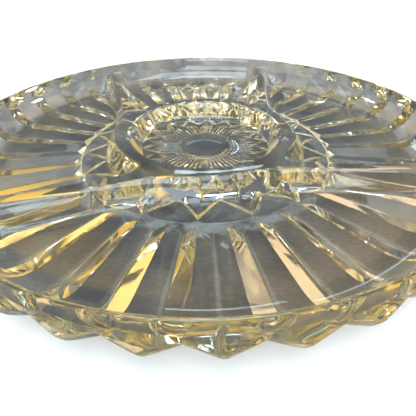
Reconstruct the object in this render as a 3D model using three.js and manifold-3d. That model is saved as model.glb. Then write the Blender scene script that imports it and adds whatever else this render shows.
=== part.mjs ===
// Round divided relish dish in pressed glass, millimetres, +Z up, standing on its rib lands at z = 0.
import * as THREE from 'three';
import { mergeVertices } from 'three/addons/utils/BufferGeometryUtils.js';
import Module from 'manifold-3d';

const wasm = await Module();
wasm.setup();

// Bowl: the smooth inner face
const rimRadius = 130.8; // smooth top edge of the rim
const bowlDepth = 17.5; // rim top down to the floor
const coveRadius = 15; // curve from floor to wall
const wallAngle = 70; // slope of the wall, degrees from level
const rimRound = 0.8; // fire-polished top edge
const rimRoundEnd = 15; // where its curve meets the outer face, degrees above level

// Glass and ribs: the patterned under face
const floorThickness = 5.5; // at the valleys' inner ends
const ribCount = 36;
const ribDepth = 3.3; // valley to ridge at the inner ends
const outerRibDepth = 4.9; // and at the foot of the wall
const ribLand = 0.6; // flat on each ridge, degrees round the axis
const ridgeOverhang = 3.6; // how far the tooth tips stand outside the top edge
const valleyOverhang = 1.1;
const ridgeDrop = 10.5; // tooth tips below the rim top
const valleyDrop = 8;
const underCoveRadius = 20; // outer curve from the under face to the wall

// Middle of the under face
const ribEndRadius = 75.5; // where the ridges stop
const ribEndBevel = 5; // length of the sloped rib ends
const recessThickness = 5; // glass over the patterned middle
const discRadius = 15; // plain disc, sunk a little
const discRise = 0.9;
const discBevel = 2.8; // length of its sloped edge
const rayCount = 60;
const rayLength = 13;
const rayWidth = 1.3;
const rayDepth = 0.8;
const triangleCount = 18; // in each of the two bands, drawn by zigzag grooves
const smallBand = [29.5, 36.5]; // inner and outer radius of the small triangles
const largeBand = [56, 69.5]; // and of the large ones
const zigzagWidth = 3.6;
const zigzagDepth = 1.5;

// Ring and dividers
const ringRadius = 47.2; // line of the ring's crest
const ringHeight = 9.2; // above the floor
const ringBase = 15; // width at the floor
const ringCrest = 10; // width of the arched crest
const crestRise = 0.8; // height of the arch of a crest
const crestStart = 25; // where the arch meets its sides, degrees along it
const backSpread = [61, 28.5]; // back pair of dividers from +Y, degrees at the ring and at the rim
const frontSpread = [27, 61]; // front pair from -Y
const dividerEndHeight = 12; // above the floor at the rim
const risePower = 3; // how late the crest rises to it
const dividerBase = 15;
const dividerCrest = 9;
const dividerFlare = 5; // how much each side widens into the ring and the wall
const flarePower = 3; // how late it widens along the way from its middle
const dividerOverrun = 14; // extra length at both ends, cut away by the ring and the wall

const seam = 0.3; // between neighbouring regions

// Fineness of the curves
const rimSteps = 4;
const coveSteps = 6;
const underCoveSteps = 5;
const crestSteps = 6;
const dividerSteps = 10;
const turnSteps = 2 * ribCount;
const weldDistance = 1e-4;

const degrees = Math.PI / 180;
const floorLevel = ribDepth + floorThickness;
const rimLevel = floorLevel + bowlDepth;
const recessLevel = floorLevel - recessThickness;

function glass(color) {
  return new THREE.MeshStandardMaterial({
    color, roughness: 0.05, metalness: 0, transparent: true, opacity: 0.45,
  });
}

// Points on an arc in the radius and height plane, both ends included
function arc(centreRadius, centreLevel, radius, from, to, steps) {
  return Array.from({ length: steps + 1 }, (_, i) => {
    const angle = (from + (to - from) * i / steps) * degrees;
    return new THREE.Vector2(centreRadius + radius * Math.cos(angle), centreLevel + radius * Math.sin(angle));
  });
}

// Inner face from the foot of the cove up to the rim and over its rounded top
function innerWall() {
  const rimCentre = new THREE.Vector2(rimRadius - rimRound, rimLevel - rimRound);
  const rimTop = arc(rimCentre.x, rimCentre.y, rimRound, 90 + wallAngle, rimRoundEnd, rimSteps);
  const wallTop = rimTop[0];
  const coveRise = coveRadius * (1 - Math.cos(wallAngle * degrees));
  const wallRun = (wallTop.y - floorLevel - coveRise) / Math.tan(wallAngle * degrees);
  const footRadius = wallTop.x - wallRun - coveRadius * Math.sin(wallAngle * degrees);
  const cove = arc(footRadius, floorLevel + coveRadius, coveRadius, -90, wallAngle - 90, coveSteps);
  return { cove, rimTop, footRadius };
}

// Outer face from the lower edge of the rim down the wall and round to the under face
function outerWall(overhang, drop, level) {
  const edge = new THREE.Vector2(rimRadius + overhang, rimLevel - drop);
  const slope = wallAngle * degrees;
  const centreLevel = level + underCoveRadius;
  const centreRadius = edge.x
    + ((centreLevel - edge.y) * Math.cos(slope) - underCoveRadius) / Math.sin(slope);
  return [edge, ...arc(centreRadius, centreLevel, underCoveRadius, wallAngle - 90, -90, underCoveSteps)];
}

// Triangles between neighbouring outlines, each a closed loop of points
function skin(outlines, closed) {
  const corners = [];
  const last = closed ? outlines.length : outlines.length - 1;
  for (let i = 0; i < last; i += 1) {
    const here = outlines[i];
    const next = outlines[(i + 1) % outlines.length];
    here.forEach((point, j) => {
      const k = (j + 1) % here.length;
      corners.push([point, next[j], next[k]], [point, next[k], here[k]]);
    });
  }
  return corners;
}

function toGeometry(corners) {
  return weld(new THREE.BufferGeometry().setFromPoints(corners.flat()));
}

// Shared corners merged, flat triangles left out
function weld(geometry) {
  const bare = geometry.clone();
  bare.deleteAttribute('normal');
  bare.deleteAttribute('uv');
  const merged = mergeVertices(bare, weldDistance);
  const index = merged.getIndex().array;
  const kept = [];
  for (let i = 0; i < index.length; i += 3) {
    const [a, b, c] = index.subarray(i, i + 3);
    if (a !== b && b !== c && c !== a) kept.push(a, b, c);
  }
  merged.setIndex(kept);
  return merged;
}

// Angles of the rib ridges' two edges and of the valley after them, the last valley on +X
function ribAngles() {
  const pitch = 360 / ribCount;
  return Array.from({ length: ribCount }, (_, i) => (i + 0.5) * pitch).flatMap((ridge) => [
    { angle: ridge - ribLand / 2, onRidge: true },
    { angle: ridge + ribLand / 2, onRidge: true },
    { angle: ridge + pitch / 2, onRidge: false },
  ]);
}

// Body turned round the axis, with one outline at the ridges and another at the valleys
function ribbedTurning(ridgeOutline, valleyOutline) {
  const outlines = ribAngles().map(({ angle, onRidge }) => (
    (onRidge ? ridgeOutline : valleyOutline).map((point) => placeAt(point.x, angle, point.y))
  ));
  return toGeometry(skin(outlines, true));
}

// Solids for cutting
function toSolid(geometry) {
  const welded = weld(geometry);
  return new wasm.Manifold(new wasm.Mesh({
    numProp: 3,
    vertProperties: new Float32Array(welded.getAttribute('position').array),
    triVerts: new Uint32Array(welded.getIndex().array),
  }));
}

function fromSolid(solid) {
  const mesh = solid.getMesh();
  const geometry = new THREE.BufferGeometry();
  geometry.setAttribute('position', new THREE.BufferAttribute(new Float32Array(mesh.vertProperties), 3));
  geometry.setIndex([...mesh.triVerts]);
  return geometry;
}

// Place at a radius, angle and height
function placeAt(radius, angle, level) {
  const turn = angle * degrees;
  return new THREE.Vector3(radius * Math.cos(turn), radius * Math.sin(turn), level);
}

// Place on the under face of the middle
function onRecess(radius, angle) {
  return placeAt(radius, angle, recessLevel);
}

// V-shaped groove from one place to another, as wide as stated at the face and open below it
function grooveCutter(start, end, width, depth) {
  const section = new THREE.Shape([
    new THREE.Vector2(-width, -depth),
    new THREE.Vector2(width, -depth),
    new THREE.Vector2(0, depth),
  ]);
  const run = end.clone().sub(start);
  const cutter = new THREE.ExtrudeGeometry(section, { depth: run.length(), bevelEnabled: false });
  cutter.rotateX(Math.PI / 2).rotateZ(Math.PI / 2 + Math.atan2(run.y, run.x));
  return cutter.translate(start.x, start.y, start.z);
}

function cutRound(solid, cutter, count) {
  let result = solid;
  for (let i = 0; i < count; i += 1) {
    const turned = cutter.clone().rotateZ((i * 360 / count) * degrees);
    result = result.subtract(toSolid(turned));
  }
  return result;
}

// Band of triangles, pointing in and out by turns, its outer points on every second rib valley
function cutTriangles(solid, [inner, outer]) {
  const swing = 180 / triangleCount;
  return [-swing, swing].reduce((body, angle) => {
    const leg = grooveCutter(onRecess(inner, angle), onRecess(outer, 0), zigzagWidth, zigzagDepth);
    return cutRound(body, leg, triangleCount);
  }, solid);
}

// Plate whose ribs end in sloped hips, cut back further the higher the under face lies
function floorPlate() {
  const { footRadius } = innerWall();
  const outerRadius = footRadius - seam;
  const outline = (innerLevel, outerLevel) => [
    new THREE.Vector2(0, floorLevel),
    new THREE.Vector2(0, recessLevel + discRise),
    new THREE.Vector2(discRadius - discBevel, recessLevel + discRise),
    new THREE.Vector2(discRadius, recessLevel),
    new THREE.Vector2(ribEndRadius - ribEndBevel, recessLevel),
    new THREE.Vector2(ribEndRadius - ribEndBevel * innerLevel / recessLevel, innerLevel),
    new THREE.Vector2(outerRadius, outerLevel),
    new THREE.Vector2(outerRadius, floorLevel),
  ];
  const plate = toSolid(ribbedTurning(outline(0, 0), outline(ribDepth, outerRibDepth)));
  const ray = grooveCutter(onRecess(discRadius, 0), onRecess(discRadius + rayLength, 0), rayWidth, rayDepth);
  const rayed = cutRound(plate, ray, rayCount);
  return fromSolid([smallBand, largeBand].reduce(cutTriangles, rayed));
}

function rimWall() {
  const { cove, rimTop, footRadius } = innerWall();
  const outline = (overhang, drop, level) => [
    ...rimTop,
    ...outerWall(overhang, drop, level),
    new THREE.Vector2(footRadius, level),
    ...cove,
  ].reverse();
  return ribbedTurning(
    outline(ridgeOverhang, ridgeDrop, 0),
    outline(valleyOverhang, valleyDrop, outerRibDepth),
  );
}

// Section of a raised wall: sloping sides under an arched crest, across its line and up from the floor
function wallSection(base, crest, height) {
  const arch = arc(0, 0, 1, crestStart, 180 - crestStart, crestSteps);
  return [
    new THREE.Vector2(-base / 2, 0),
    new THREE.Vector2(base / 2, 0),
    ...arch.map((point) => new THREE.Vector2(point.x * crest / 2, height - crestRise * (1 - point.y))),
  ];
}

function centreRing() {
  const section = wallSection(ringBase, ringCrest, ringHeight);
  const outline = section.map((point) => new THREE.Vector2(ringRadius + point.x, floorLevel + point.y));
  outline.push(outline[0].clone());
  return new THREE.LatheGeometry(outline, turnSteps).rotateX(Math.PI / 2);
}

// Room that a divider leaves to the ring, turned from the ring's outer side
function ringRoom() {
  const [base, crest] = wallSection(ringBase, ringCrest, ringHeight).slice(1, 3);
  const top = rimLevel;
  return new THREE.LatheGeometry([
    new THREE.Vector2(0, 0),
    new THREE.Vector2(ringRadius + base.x + seam, 0),
    new THREE.Vector2(ringRadius + base.x + seam, floorLevel),
    new THREE.Vector2(ringRadius + crest.x + seam, floorLevel + crest.y),
    new THREE.Vector2(ringRadius + crest.x + seam, top),
    new THREE.Vector2(0, top),
  ], turnSteps).rotateX(Math.PI / 2);
}

// Space inside the wall, less the seam
function bowlRoom() {
  const { cove, rimTop } = innerWall();
  const side = [...cove, rimTop[0]].map((point) => new THREE.Vector2(point.x - seam, point.y));
  return new THREE.LatheGeometry([
    new THREE.Vector2(0, 0),
    new THREE.Vector2(side[0].x, 0),
    ...side,
    new THREE.Vector2(0, side.at(-1).y),
  ], turnSteps).rotateX(Math.PI / 2);
}

// Partition along a straight line from the ring to the rim, rising outwards and widening into both
function divider(ringAngle, rimAngle) {
  const start = placeAt(ringRadius, ringAngle, floorLevel);
  const run = placeAt(rimRadius, rimAngle, floorLevel).sub(start);
  const length = run.length();
  const sections = Array.from({ length: dividerSteps + 1 }, (_, i) => {
    const along = THREE.MathUtils.lerp(length + dividerOverrun, -dividerOverrun, i / dividerSteps);
    const share = THREE.MathUtils.clamp(along / length, 0, 1);
    const flare = dividerFlare * Math.abs(2 * share - 1) ** flarePower;
    const height = THREE.MathUtils.lerp(ringHeight, dividerEndHeight, share ** risePower);
    return wallSection(dividerBase + 2 * flare, dividerCrest + flare, height)
      .map((point) => new THREE.Vector3(along, point.x, point.y));
  });
  const corners = skin(sections, false);
  const ends = THREE.ShapeUtils.triangulateShape(wallSection(dividerBase, dividerCrest, ringHeight), []);
  for (const [a, b, c] of ends) {
    corners.push([sections[0][a], sections[0][b], sections[0][c]]);
    corners.push([sections.at(-1)[a], sections.at(-1)[c], sections.at(-1)[b]]);
  }
  const bar = toGeometry(corners).rotateZ(Math.atan2(run.y, run.x)).translate(start.x, start.y, start.z);
  return fromSolid(toSolid(bar).intersect(toSolid(bowlRoom())).subtract(toSolid(ringRoom())));
}

// Angles of each divider at the ring and at the rim, the same in a mirror across the Y axis
function dividerAngles() {
  const pair = (axis, spread) => [-1, 1].map((side) => spread.map((angle) => axis + side * angle));
  return [...pair(90, backSpread), ...pair(270, frontSpread)];
}

function piece(name, geometry, color) {
  const mesh = new THREE.Mesh(geometry, glass(color));
  mesh.name = name;
  return mesh;
}

const dish = new THREE.Group();
dish.add(piece('floor_plate', floorPlate(), 0xd9dcd0));
dish.add(piece('rim_wall', rimWall(), 0xd6d8b8));
dish.add(piece('centre_ring', centreRing(), 0xdcdec8));

dividerAngles().forEach(([ringAngle, rimAngle], i) => {
  dish.add(piece(`divider_${i + 1}`, divider(ringAngle, rimAngle), 0xdcdec8));
});

export default dish;
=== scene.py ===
from math import atan2, cos, hypot, pi, radians, sin, tan

import bmesh
import bpy
from mathutils import Matrix, Vector


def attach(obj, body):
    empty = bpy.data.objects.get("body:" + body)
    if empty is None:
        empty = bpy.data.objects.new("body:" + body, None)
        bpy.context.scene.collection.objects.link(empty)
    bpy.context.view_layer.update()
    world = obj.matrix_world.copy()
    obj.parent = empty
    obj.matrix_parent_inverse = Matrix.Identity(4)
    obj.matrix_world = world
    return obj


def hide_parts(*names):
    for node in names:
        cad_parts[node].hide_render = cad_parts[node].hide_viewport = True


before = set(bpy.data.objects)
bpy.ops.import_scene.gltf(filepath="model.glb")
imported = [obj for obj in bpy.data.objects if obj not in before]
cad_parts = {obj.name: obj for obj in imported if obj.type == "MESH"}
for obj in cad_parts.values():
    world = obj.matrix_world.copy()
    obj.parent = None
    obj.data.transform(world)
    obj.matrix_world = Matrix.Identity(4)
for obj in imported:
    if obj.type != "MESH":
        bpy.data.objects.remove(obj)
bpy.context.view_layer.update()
scene = bpy.context.scene
mm = 0.001

# Divided dish, one pressing of glass. Lengths in millimetres, angles in degrees.
dish = {
    "rimRadius": 130.8,
    "rimLevel": 26.3,
    "rimRound": 0.8,
    "rimRoundEnd": 15.0,
    "floorLevel": 8.8,
    "coveRadius": 15.0,
    "wallAngle": 70.0,
    "ribs": 36,
    "ribDepth": 3.3,  # at the inner ends
    "outerRibDepth": 4.9,
    "outerRibRadius": 112.0,  # the ribs have their full depth from here
    "ribLand": 0.5,  # degrees
    "ridgeOverhang": 3.6,
    "valleyOverhang": 1.1,
    "ridgeDrop": 10.5,
    "valleyDrop": 8.0,
    "underCove": 20.0,
    "ribEnd": 75.5,
    "ribEndBevel": 5.0,
    "recessLevel": 3.8,
    "sharpAngle": 32.0,  # steeper edges are shaded sharp
}

ring = {"radius": 47.2, "halfWidth": 9.6, "height": 9.2, "foot": 2.6}

divider = {
    "lines": ((29.0, 61.5), (151.0, 118.5), (243.0, 209.0), (297.0, 331.0)),  # at the ring, at the rim
    "halfWidth": 8.8,
    "flare": 4.0,  # added to the half width at both ends
    "endHeight": 12.0,  # at the rim, at the ring it is the ring's
    "heightReach": 2.5,  # half widths to either side that take a divider's height
    "ringOverlap": 1.0,  # starts so far inside the ring's crest line
    "startShare": -0.1,  # and so far before its own start, as a share of its length
    "join": 0.9,  # roundness of the corners with the ring
}

crest = {  # section of ring and dividers, as shares of their height and half width
    "fall": 0.014,  # the crest is so much lower at its edge
    "edge": 0.33,
    "side": 1.12,  # height at which the curve of the sides would meet
    "round": 0.06,
}

underside = {
    "triangles": 18,
    "bands": ((56.0, 69.5), (29.5, 36.5)),  # inner and outer radius of the large and small zigzag
    "grooveWidth": 5.0,
    "grooveDepth": 1.9,
    "rays": 60,
    "raySpan": (15.2, 29.0),
    "rayFade": 1.2,
    "rayDepth": 0.55,
    "discDrop": 0.9,
    "discEdge": (12.2, 15.0),
}

meshLines = {  # spans are start radius, end radius and steps
    "turns": 720,  # steps round the axis
    "well": (0, 34, 4),
    "ring": (37, 58, 20),
    "compartment": (60, 2, 19),  # ends so far from the foot of the cove
    "coveSteps": 8,
    "wall": (0.33, 0.67),  # shares of the way up
    "rimSteps": 6,
    "face": (0.25, 0.5, 0.72, 0.88),  # shares of the way down to the teeth
    "corner": (0.3, 0.55, 0.8),  # shares of the way round the teeth
    "ribs": (4, 77.5, 7),  # starts so far from the foot of the outer cove
    "ribEnds": (76.4, 69.9, 9),
    "largeBand": (69.2, 55.4, 13),
    "recessRadii": [52.5, 48.0, 43.0, 39.0],
    "smallBand": (37.4, 28.6, 10),
    "rayRadii": [28.0, 26.5, 24.0, 21.0, 18.0, 16.2, 15.0],
    "discRadii": [14.0, 13.0, 12.0, 7.0, 0.0],
    "ribFollow": (60, 75),  # radii between which the lines start to follow the ribs
    "weld": 1e-3,
}

follow = {  # how lines of the upper face are drawn to the dividers
    "window": 37.0,  # degrees either side of a divider
    "anchor": 66.0,  # radius at which a divider's own line isn't moved
    "lastRadius": 118.0,
    "shiftRise": (18, 44),
    "shiftFall": (112, 127.5),
    "draw": 0.5,
    "drawRise": (18, 40),
    "drawFall": (112, 127),
}


def clamped(value):
    return min(max(value, 0.0), 1.0)


def smoothMax(a, b, reach):
    overlap = max(reach - abs(a - b), 0.0) / reach
    return max(a, b) + overlap * overlap * reach / 4


def smoothMin(a, b, reach):
    return -smoothMax(-a, -b, reach)


def easeIn(value, start, end):
    share = clamped((value - start) / (end - start))
    return share * share * (3 - 2 * share)


def within(value, rise, fall):  # 1 between two soft steps, 0 outside
    return easeIn(value, *rise) * (1 - easeIn(value, *fall))


def mix(a, b, share):
    return a + (b - a) * share


def between(a, b, share):  # point on the way from a to b
    return mix(a[0], b[0], share), mix(a[1], b[1], share)


def spaced(start, end, steps):
    return [mix(start, end, i / steps) for i in range(steps + 1)]


def arcPoints(centre, radius, start, end, steps):
    angles = [radians(angle) for angle in spaced(start, end, steps)]
    return [(centre[0] + radius * cos(a), centre[1] + radius * sin(a)) for a in angles]


def topOutline():  # upper face from the middle to the rim
    slope = dish["wallAngle"]
    edge = (dish["rimRadius"] - dish["rimRound"], dish["rimLevel"] - dish["rimRound"])
    rim = arcPoints(edge, dish["rimRound"], 90 + slope, dish["rimRoundEnd"], meshLines["rimSteps"])
    coveRise = dish["coveRadius"] * (1 - cos(radians(slope)))
    wallRun = (rim[0][1] - dish["floorLevel"] - coveRise) / tan(radians(slope))
    foot = rim[0][0] - wallRun - dish["coveRadius"] * sin(radians(slope))
    centre = (foot, dish["floorLevel"] + dish["coveRadius"])
    cove = arcPoints(centre, dish["coveRadius"], -90, slope - 90, meshLines["coveSteps"])
    wall = [between(cove[-1], rim[0], share) for share in meshLines["wall"]]
    start, gap, steps = meshLines["compartment"]
    radii = spaced(*meshLines["well"]) + spaced(*meshLines["ring"]) + spaced(start, foot - gap, steps)
    return [(r, dish["floorLevel"]) for r in radii] + cove + wall + rim


def ribShare(radius):  # the ribs deepen outwards
    inner = dish["ribDepth"] / dish["outerRibDepth"]
    return mix(inner, 1, clamped((radius - dish["ribEnd"]) / (dish["outerRibRadius"] - dish["ribEnd"])))


def underOutline(top, overhang, drop, level):  # outer face and under face along one ridge or valley
    edge = (dish["rimRadius"] + overhang, dish["rimLevel"] - drop)
    bend = dish["underCove"]
    slope = radians(dish["wallAngle"])
    centreLevel = level + bend
    centre = edge[0] + ((centreLevel - edge[1]) * cos(slope) - bend) / sin(slope)
    cove = arcPoints((centre, centreLevel), bend, dish["wallAngle"] - 90, -90, meshLines["coveSteps"])
    face = [between(top, edge, share) for share in meshLines["face"]]
    below = between(edge, cove[0], 0.5)
    corner = [
        between(between(face[-1], edge, share), between(edge, below, share), share)
        for share in meshLines["corner"]
    ]
    gap, end, steps = meshLines["ribs"]
    ribs = [(r, level * ribShare(r)) for r in spaced(centre - gap, end, steps)]
    return face + corner + cove + ribs


def middleRadii():  # under the middle, from the ends of the ribs inwards
    return (
        spaced(*meshLines["ribEnds"])
        + spaced(*meshLines["largeBand"])
        + meshLines["recessRadii"]
        + spaced(*meshLines["smallBand"])
        + meshLines["rayRadii"]
        + meshLines["discRadii"]
    )


def dividerLines():  # start, direction and length of each
    lines = []
    for ringAngle, rimAngle in divider["lines"]:
        start = Vector((cos(radians(ringAngle)), sin(radians(ringAngle)))) * ring["radius"]
        end = Vector((cos(radians(rimAngle)), sin(radians(rimAngle)))) * dish["rimRadius"]
        run = end - start
        lines.append((start, run.normalized(), run.length))
    return lines


def lineAngle(line, radius):  # where a divider's line crosses a circle, in degrees
    start, way = line[:2]
    here = start.dot(way)
    along = -here + max(here * here - start.length_squared + radius * radius, 0) ** 0.5
    point = start + way * along
    return atan2(point.y, point.x) * 180 / pi


def halfTurn(angle):  # the same angle between -180 and 180
    return (angle + 180) % 360 - 180


def followDividers(angle, radius, lines):  # draws mesh lines to the dividers
    window = follow["window"]
    moved = angle
    for line in lines:
        anchor = lineAngle(line, follow["anchor"])
        offset = halfTurn(angle - anchor)
        if abs(offset) >= window:
            continue
        lineRadius = min(max(radius, ring["radius"]), follow["lastRadius"])
        shift = halfTurn(lineAngle(line, lineRadius) - anchor)
        shift *= within(radius, follow["shiftRise"], follow["shiftFall"])
        draw = follow["draw"] * within(radius, follow["drawRise"], follow["drawFall"])
        moved += shift * cos(pi * offset / window / 2) ** 2
        moved -= draw * window / pi * sin(pi * offset / window)
    return moved


def wallProfile(share):  # nearly flat crest and curved side, share 0 on the crest line and 1 at the foot
    flat = 1 - crest["fall"] * (share / crest["edge"]) ** 2
    return smoothMin(flat, crest["side"] * (1 - share * share), crest["round"])


def topLevel(x, y, level, lines):  # upper face with the ring and dividers raised from it
    radius = hypot(x, y)
    share = abs(radius - ring["radius"]) / ring["halfWidth"]
    height = ring["height"]
    if radius > ring["radius"] - divider["ringOverlap"]:
        for start, way, length in lines:
            place = Vector((x, y)) - start
            along = place.dot(way) / length
            if along < divider["startShare"]:
                continue
            along = clamped(along)
            width = divider["halfWidth"] + divider["flare"] * abs(2 * along - 1) ** 3
            near = abs(place.x * way.y - place.y * way.x) / width
            if near < divider["heightReach"]:
                height = mix(ring["height"], divider["endHeight"], along ** 3)  # rises near the rim
            share = smoothMin(share, near, divider["join"])
    raised = height * wallProfile(max(share, 0))
    return dish["floorLevel"] + smoothMax(level - dish["floorLevel"], raised, ring["foot"])


def grooveAt(radius, angle, band):  # depth of a zigzag groove
    half = 180 / underside["triangles"]
    turn = radians(abs((angle + half) % (2 * half) - half))
    place = Vector((radius * cos(turn), radius * sin(turn)))
    start = Vector((band[1], 0))
    end = Vector((band[0] * cos(radians(half)), band[0] * sin(radians(half))))
    run = end - start
    share = clamped((place - start).dot(run) / run.length_squared)
    away = (place - start - run * share).length
    return underside["grooveDepth"] * max(1 - away / (underside["grooveWidth"] / 2), 0)


def valleyShare(angle):  # 0 on a ridge, 1 in a valley
    pitch = 360 / dish["ribs"]
    away = abs(angle % pitch - pitch / 2)
    return max(away - dish["ribLand"] / 2, 0) / (pitch / 2 - dish["ribLand"] / 2)


def ribAngle(angle):  # moves the mesh lines beside each ridge to the edges of its land
    pitch = 360 / dish["ribs"]
    step = 360 / meshLines["turns"]
    offset = angle % pitch - pitch / 2
    away = abs(offset)
    if away <= step:
        drawn = away / step * dish["ribLand"] / 2
    else:
        drawn = mix(dish["ribLand"] / 2, pitch / 2, (away - step) / (pitch / 2 - step))
    return angle - offset + (drawn if offset > 0 else -drawn)


def middleLevel(radius, angle):  # sloped ends of the ribs, then the recess with its pattern
    rib = dish["outerRibDepth"] * ribShare(radius) * valleyShare(angle)
    hip = dish["recessLevel"] * (dish["ribEnd"] - radius) / dish["ribEndBevel"]
    level = max(rib, min(hip, dish["recessLevel"]))
    if radius < dish["ribEnd"] - dish["ribEndBevel"]:
        level += max(grooveAt(radius, angle, band) for band in underside["bands"])
    start, end = underside["raySpan"]
    fade = underside["rayFade"]
    pitch = 360 / underside["rays"]
    ray = 1 - abs((angle + pitch / 2) % pitch - pitch / 2) / (pitch / 2)
    level += underside["rayDepth"] * ray * within(radius, (start, start + fade), (end - fade, end))
    return level - underside["discDrop"] * (1 - easeIn(radius, *underside["discEdge"]))


def buildDish():
    top = topOutline()
    ridge = underOutline(top[-1], dish["ridgeOverhang"], dish["ridgeDrop"], 0.0)
    valley = underOutline(top[-1], dish["valleyOverhang"], dish["valleyDrop"], dish["outerRibDepth"])
    middle = middleRadii()
    rimStart = len(top) - meshLines["rimSteps"] - 1
    rows = len(top) + len(valley) + len(middle)
    lines = dividerLines()
    bm = bmesh.new()
    bmesh.ops.create_grid(bm, x_segments=meshLines["turns"], y_segments=rows - 1, size=0.5)
    for vert in bm.verts:  # across the grid is round the dish, up the grid is over the rim and under
        index = round((vert.co.y + 0.5) * (rows - 1))
        angle = (vert.co.x + 0.5) * 360
        if index < len(top):  # smooth upper face
            r, z = top[index]
            if index < rimStart:
                angle = followDividers(angle, r, lines)
                z = topLevel(r * cos(radians(angle)), r * sin(radians(angle)), z, lines)
        elif index < len(top) + len(valley):  # toothed rim and ribs
            here = index - len(top)
            angle = ribAngle(angle)
            r, z = between(ridge[here], valley[here], valleyShare(angle))
        else:  # patterned middle
            r = middle[index - len(top) - len(valley)]
            angle = mix(angle, ribAngle(angle), easeIn(r, *meshLines["ribFollow"]))
            z = middleLevel(r, angle)
        vert.co = (r * cos(radians(angle)), r * sin(radians(angle)), z)
    bmesh.ops.remove_doubles(bm, verts=bm.verts, dist=meshLines["weld"])
    bmesh.ops.recalc_face_normals(bm, faces=bm.faces)
    bmesh.ops.scale(bm, verts=bm.verts, vec=(mm, mm, mm))
    for face in bm.faces:
        face.smooth = True
    mesh = bpy.data.meshes.new("divided_dish")
    bm.to_mesh(mesh)
    bm.free()
    mesh.set_sharp_from_angle(angle=radians(dish["sharpAngle"]))
    piece = bpy.data.objects.new("divided_dish", mesh)
    scene.collection.objects.link(piece)
    return piece


def newMaterial(name):
    material = bpy.data.materials.new(name)
    material.use_nodes = True
    return material, material.node_tree, material.node_tree.nodes["Principled BSDF"]


def feed(tree, socket, value):  # a link from another node, or a plain value
    if isinstance(value, bpy.types.NodeSocket):
        tree.links.new(value, socket)
    else:
        socket.default_value = value


def addNode(tree, kind, *values, **settings):  # values go into the sockets in order
    node = tree.nodes.new("ShaderNode" + kind)
    for name, value in settings.items():
        if name in node.inputs:
            feed(tree, node.inputs[name], value)
        else:
            setattr(node, name, value)
    for socket, value in zip(node.inputs, values):
        feed(tree, socket, value)
    return node


def calculate(tree, operation, *values, clamp=False):
    return addNode(tree, "Math", *values, operation=operation, use_clamp=clamp).outputs["Value"]


def noise(tree, place, scale, detail):
    return addNode(tree, "TexNoise", Vector=place, Scale=scale, Detail=detail).outputs["Fac"]


def drawnOut(tree, place, turn, scale):  # for strokes along one way
    mapped = addNode(tree, "Mapping", Vector=place, Rotation=(0, 0, turn), Scale=scale)
    return mapped.outputs["Vector"]


def spread(tree, value, span, ends=(0.0, 1.0), kind="LINEAR"):  # from the span to the ends
    node = addNode(tree, "MapRange", value, *span, *ends, interpolation_type=kind)
    return node.outputs["Result"]


def blendColour(tree, factor, first, second):
    node = addNode(tree, "Mix", data_type="RGBA", Factor=factor, A=first, B=second)
    return node.outputs["Result"]


glass = {
    "ior": 1.5,
    "tintPale": (0.66, 0.66, 0.66, 1),
    "tintWarm": (0.6, 0.595, 0.58, 1),
    # painted highlight: the lands are tinted clearer than the rest, so the ridge lines show light
    "tintLandHighlight": (0.97, 1.0, 1.0, 1),
    "depthColour": (0.95, 0.912, 0.75, 1),
    "depthDensity": 24.0,
    "cloudScale": 16.0,
    "hazeSpan": (0.35, 0.75),
    "haze": 0.03,  # most roughness in the clouds
    "landTop": 0.00035,  # wear and the painted highlight lie below this height in metres, on the lands that the dish stands on
    "rubScale": 420.0,
    "rubSpan": (0.3, 0.5),
    "rubLeast": 0.4,
    "wornRough": 0.25,
    "scratchTurn": 0.55,  # radians
    "scratchScale": (60, 2600, 60),
    "scratchSpan": (0.62, 0.74),
    "scratchReach": 0.00015,  # metres above and below the floor of the dish
    "scratchRough": 0.16,
    "scratchDepth": 0.05,
    "rippleScale": 55.0,
    "bump": 0.25,
    "bumpDistance": 0.0004,
}


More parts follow.
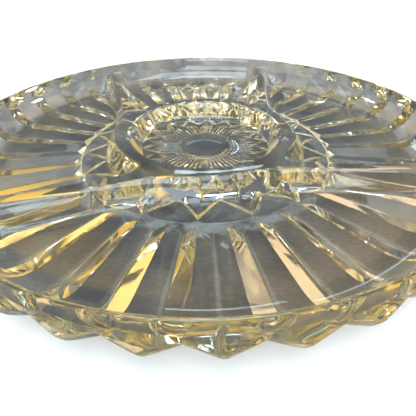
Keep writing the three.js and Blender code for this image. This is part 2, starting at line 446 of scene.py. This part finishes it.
def makeGlass():
    material, tree, shader = newMaterial("pressed_glass")
    shader.inputs["IOR"].default_value = glass["ior"]
    shader.inputs["Transmission Weight"].default_value = 1.0
    place = addNode(tree, "TexCoord").outputs["Object"]
    height = addNode(tree, "SeparateXYZ", place).outputs["Z"]

    # wear on the lands, from their height and a broken noise; the same mask tints the lands clearer as a
    # painted highlight along the ridge lines
    land = spread(tree, height, (glass["landTop"], 0.0))
    rub = noise(tree, place, glass["rubScale"], detail=4.0)
    rubbedAndHighlight = spread(tree, rub, glass["rubSpan"], (glass["rubLeast"], 1.0))
    wearAndHighlight = calculate(tree, "MULTIPLY", land, rubbedAndHighlight, clamp=True)

    # cloudy tint
    cloud = noise(tree, place, glass["cloudScale"], detail=3.0)
    tint = blendColour(tree, cloud, glass["tintPale"], glass["tintWarm"])
    # painted highlight: the worn lands take the clearer tint, as light ridge lines
    tintAndHighlight = blendColour(tree, wearAndHighlight, tint, glass["tintLandHighlight"])
    feed(tree, shader.inputs["Base Color"], tintAndHighlight)

    # fine scratches along one way on the floor of the dish
    stroke = drawnOut(tree, place, glass["scratchTurn"], glass["scratchScale"])
    hair = noise(tree, stroke, scale=1.0, detail=2.0)
    scratch = spread(tree, hair, glass["scratchSpan"])
    level = calculate(tree, "COMPARE", height, dish["floorLevel"] * mm, glass["scratchReach"])
    onFloor = calculate(tree, "MULTIPLY", scratch, level)

    # roughness: polished, hazier in clouds, in scratches and on the lands
    haze = spread(tree, cloud, glass["hazeSpan"], (0.0, glass["haze"]))
    cut = calculate(tree, "MULTIPLY_ADD", onFloor, glass["scratchRough"], haze)
    rough = calculate(tree, "MULTIPLY_ADD", wearAndHighlight, glass["wornRough"], cut, clamp=True)
    feed(tree, shader.inputs["Roughness"], rough)

    # slow ripple of pressed glass, and the scratches
    ripple = noise(tree, place, glass["rippleScale"], detail=1.0)
    groove = calculate(tree, "MULTIPLY_ADD", onFloor, -glass["scratchDepth"], ripple)
    bump = addNode(
        tree, "Bump", Strength=glass["bump"], Distance=glass["bumpDistance"], Height=groove
    )
    feed(tree, shader.inputs["Normal"], bump.outputs["Normal"])

    # amber tint that grows with the depth of glass
    depth = addNode(
        tree, "VolumeAbsorption", Color=glass["depthColour"], Density=glass["depthDensity"]
    )
    feed(tree, tree.nodes["Material Output"].inputs["Volume"], depth.outputs["Volume"])
    return material


paper = {
    "size": 3.0,
    "drop": 0.0003,  # metres below the dish
    "seen": ((0.82, 0.82, 0.82, 1), (0.86, 0.86, 0.86, 1)),
    "behindGlass": ((0.12, 0.14, 0.17, 1), (0.39, 0.39, 0.395, 1)),  # shaded under the dish
    "cloudScale": 34.0,
    "cloudSpan": (0.32, 0.68),
    "warm": (0.5, 0.41, 0.31, 1),
    "warmWay": (0.62, -0.78, 0),  # side of the warm light under the dish
    "warmSpan": (0.05, 0.12),  # metres that way
    "warmShare": 0.75,
    "thrown": (0.66, 0.76, 0.86, 1),  # light that the glass throws on the paper
    "thrownBands": ((0.066, 0.0755, 0.85), (0.05, 0.066, 0.35)),  # radii in metres, strength
    "fleckScale": 120.0,
    "fleckSpan": (0.36, 0.56),
    "fibreTurn": 0.6,  # radians
    "fibreScale": (420, 1300, 420),
    "grainSpan": (0.35, 0.65),
    "grain": 0.16,
    "roughness": 0.7,
}


def makeFloor():
    bm = bmesh.new()
    bmesh.ops.create_grid(bm, x_segments=1, y_segments=1, size=paper["size"])
    bmesh.ops.translate(bm, verts=bm.verts, vec=(0, 0, -paper["drop"]))
    mesh = bpy.data.meshes.new("floor")
    bm.to_mesh(mesh)
    bm.free()
    floor = bpy.data.objects.new("floor", mesh)
    scene.collection.objects.link(floor)
    material, tree, shader = newMaterial("floor_paper")
    place = addNode(tree, "TexCoord").outputs["Object"]
    blotch = noise(tree, place, paper["cloudScale"], detail=3.0)
    cloud = spread(tree, blotch, paper["cloudSpan"])
    shaded = blendColour(tree, cloud, *paper["behindGlass"])
    seen = blendColour(tree, cloud, *paper["seen"])

    # warm light from one side under the dish
    side = addNode(tree, "VectorMath", place, paper["warmWay"], operation="DOT_PRODUCT")
    warmEnds = (0.0, paper["warmShare"])
    warmth = spread(tree, side.outputs["Value"], paper["warmSpan"], warmEnds, "SMOOTHSTEP")
    shaded = blendColour(tree, warmth, shaded, paper["warm"])

    # patches of light that the glass throws under itself
    reach = addNode(tree, "VectorMath", place, operation="LENGTH").outputs["Value"]
    speck = noise(tree, place, paper["fleckScale"], detail=3.0)
    fleck = spread(tree, speck, paper["fleckSpan"])
    for inner, outer, strength in paper["thrownBands"]:
        half = (outer - inner) / 2
        away = calculate(tree, "SUBTRACT", reach, (outer + inner) / 2)
        offset = calculate(tree, "ABSOLUTE", away)
        band = spread(tree, offset, (half, half / 2), (0.0, strength), "SMOOTHSTEP")
        patch = calculate(tree, "MULTIPLY", band, fleck)
        shaded = blendColour(tree, patch, shaded, paper["thrown"])

    # fibres of the paper
    stroke = drawnOut(tree, place, paper["fibreTurn"], paper["fibreScale"])
    fibre = noise(tree, stroke, scale=1.0, detail=3.0)
    grain = spread(tree, fibre, paper["grainSpan"], (1 - paper["grain"], 1 + paper["grain"]))
    woven = addNode(tree, "VectorMath", operation="SCALE", Vector=shaded, Scale=grain)
    toCamera = addNode(tree, "LightPath").outputs["Is Camera Ray"]
    colour = blendColour(tree, toCamera, woven.outputs["Vector"], seen)
    feed(tree, shader.inputs["Base Color"], colour)
    shader.inputs["Roughness"].default_value = paper["roughness"]
    floor.data.materials.append(material)


view = {
    "lens": 28.22,
    "sensor": 36,
    "clipStart": 0.005,
    "place": (-21.95, -175.5, 97.3),  # millimetres
    "tilt": 52.17,
    "heading": -7.66,
    "roll": -0.33,
}


def makeCamera():
    data = bpy.data.cameras.new("camera")
    data.lens = view["lens"]
    data.sensor_width = view["sensor"]
    data.clip_start = view["clipStart"]
    camera = bpy.data.objects.new("camera", data)
    scene.collection.objects.link(camera)
    turn = Matrix.Rotation(radians(view["heading"]), 4, "Z")
    tilt = Matrix.Rotation(radians(view["tilt"]), 4, "X")
    roll = Matrix.Rotation(radians(view["roll"]), 4, "Z")
    camera.matrix_world = Matrix.Translation(Vector(view["place"]) * mm) @ turn @ tilt @ roll
    scene.camera = camera


# name, side in degrees from the back, height in degrees, distance, width, depth, watts, colour
lights = [
    ("top_softbox", 180, 70, 2.4, 1.9, 1.5, 56.0, (0.8, 0.92, 1.0)),
    ("front_softbox", 172, 36, 2.4, 1.5, 0.5, 13.0, (0.72, 0.9, 1.0)),
    ("top_window", 0, 86, 1.0, 0.25, 0.25, 1.8, (0.72, 0.9, 1.0)),
    ("low_window", -22, 11, 1.5, 0.5, 0.16, 0.9, (0.72, 0.9, 1.0)),
    ("back_window", -3, 35.5, 1.0, 0.32, 0.1, 0.66, (0.7, 0.9, 1.0)),
    ("left_spark", 62, 34, 0.9, 0.08, 0.08, 1.4, (1.0, 0.98, 0.95)),
    ("right_spark", -66, 25, 0.9, 0.1, 0.1, 1.4, (1.0, 0.98, 0.95)),
]

studio = {
    "plain": (0.16, 0.185, 0.22, 1),
    "backdrop": (0.72, 0.73, 0.75, 1),  # to the camera itself
}

# soft lights of the room: name, side, height, inner and outer radius in degrees, colour
glows = [
    ("back_wall", 0, 28, 14, 40, (0.2, 0.24, 0.3, 1)),
    ("right_wall", -62, 53, 18, 32, (1.75, 1.42, 1.02, 1)),
    ("front_wall", 180, 30, 20, 60, (0.8, 0.8, 0.8, 1)),
    ("left_wall", 57, 43, 18, 29, (1.55, 1.05, 0.26, 1)),
    ("warm_lamp", 38, 63, 10, 22, (2.2, 1.72, 0.68, 1)),
]


def wayTo(side, height):  # from the dish, side counted from the back of the picture to the left
    away = radians(90 + view["heading"] + side)
    up = radians(height)
    return Vector((cos(away) * cos(up), sin(away) * cos(up), sin(up)))


def makeLights():
    for name, side, height, distance, width, depth, watts, colour in lights:
        data = bpy.data.lights.new(name, "AREA")
        data.shape = "RECTANGLE"
        data.size = width
        data.size_y = depth
        data.energy = watts
        data.color = colour
        lamp = bpy.data.objects.new(name, data)
        scene.collection.objects.link(lamp)
        lamp.location = wayTo(side, height) * distance
        lamp.rotation_euler = lamp.location.to_track_quat("Z", "Y").to_euler()


def makeWorld():
    world = bpy.data.worlds.new("studio")
    world.use_nodes = True
    tree = world.node_tree
    way = addNode(tree, "TexCoord").outputs["Generated"]
    room = studio["plain"]
    for name, side, height, inner, outer, colour in glows:
        toward = addNode(
            tree, "VectorMath", way, wayTo(side, height), operation="DOT_PRODUCT", name=name
        )
        span = (cos(radians(outer)), cos(radians(inner)))
        near = spread(tree, toward.outputs["Value"], span, kind="SMOOTHSTEP")
        room = blendColour(tree, near, room, colour)
    toCamera = addNode(tree, "LightPath").outputs["Is Camera Ray"]
    shown = blendColour(tree, toCamera, room, studio["backdrop"])
    feed(tree, tree.nodes["Background"].inputs["Color"], shown)
    scene.world = world


scene.view_settings.view_transform = "Standard"
scene.cycles.max_bounces = 40  # light runs far round inside the ribs
scene.cycles.glossy_bounces = 24
scene.cycles.transmission_bounces = 32
makeCamera()
makeLights()
makeWorld()
makeFloor()
print("stage ready")

body = buildDish()
print("dish mesh", len(body.data.polygons), "faces")
body.data.materials.append(makeGlass())
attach(body, "root")
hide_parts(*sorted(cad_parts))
print("glass ready")
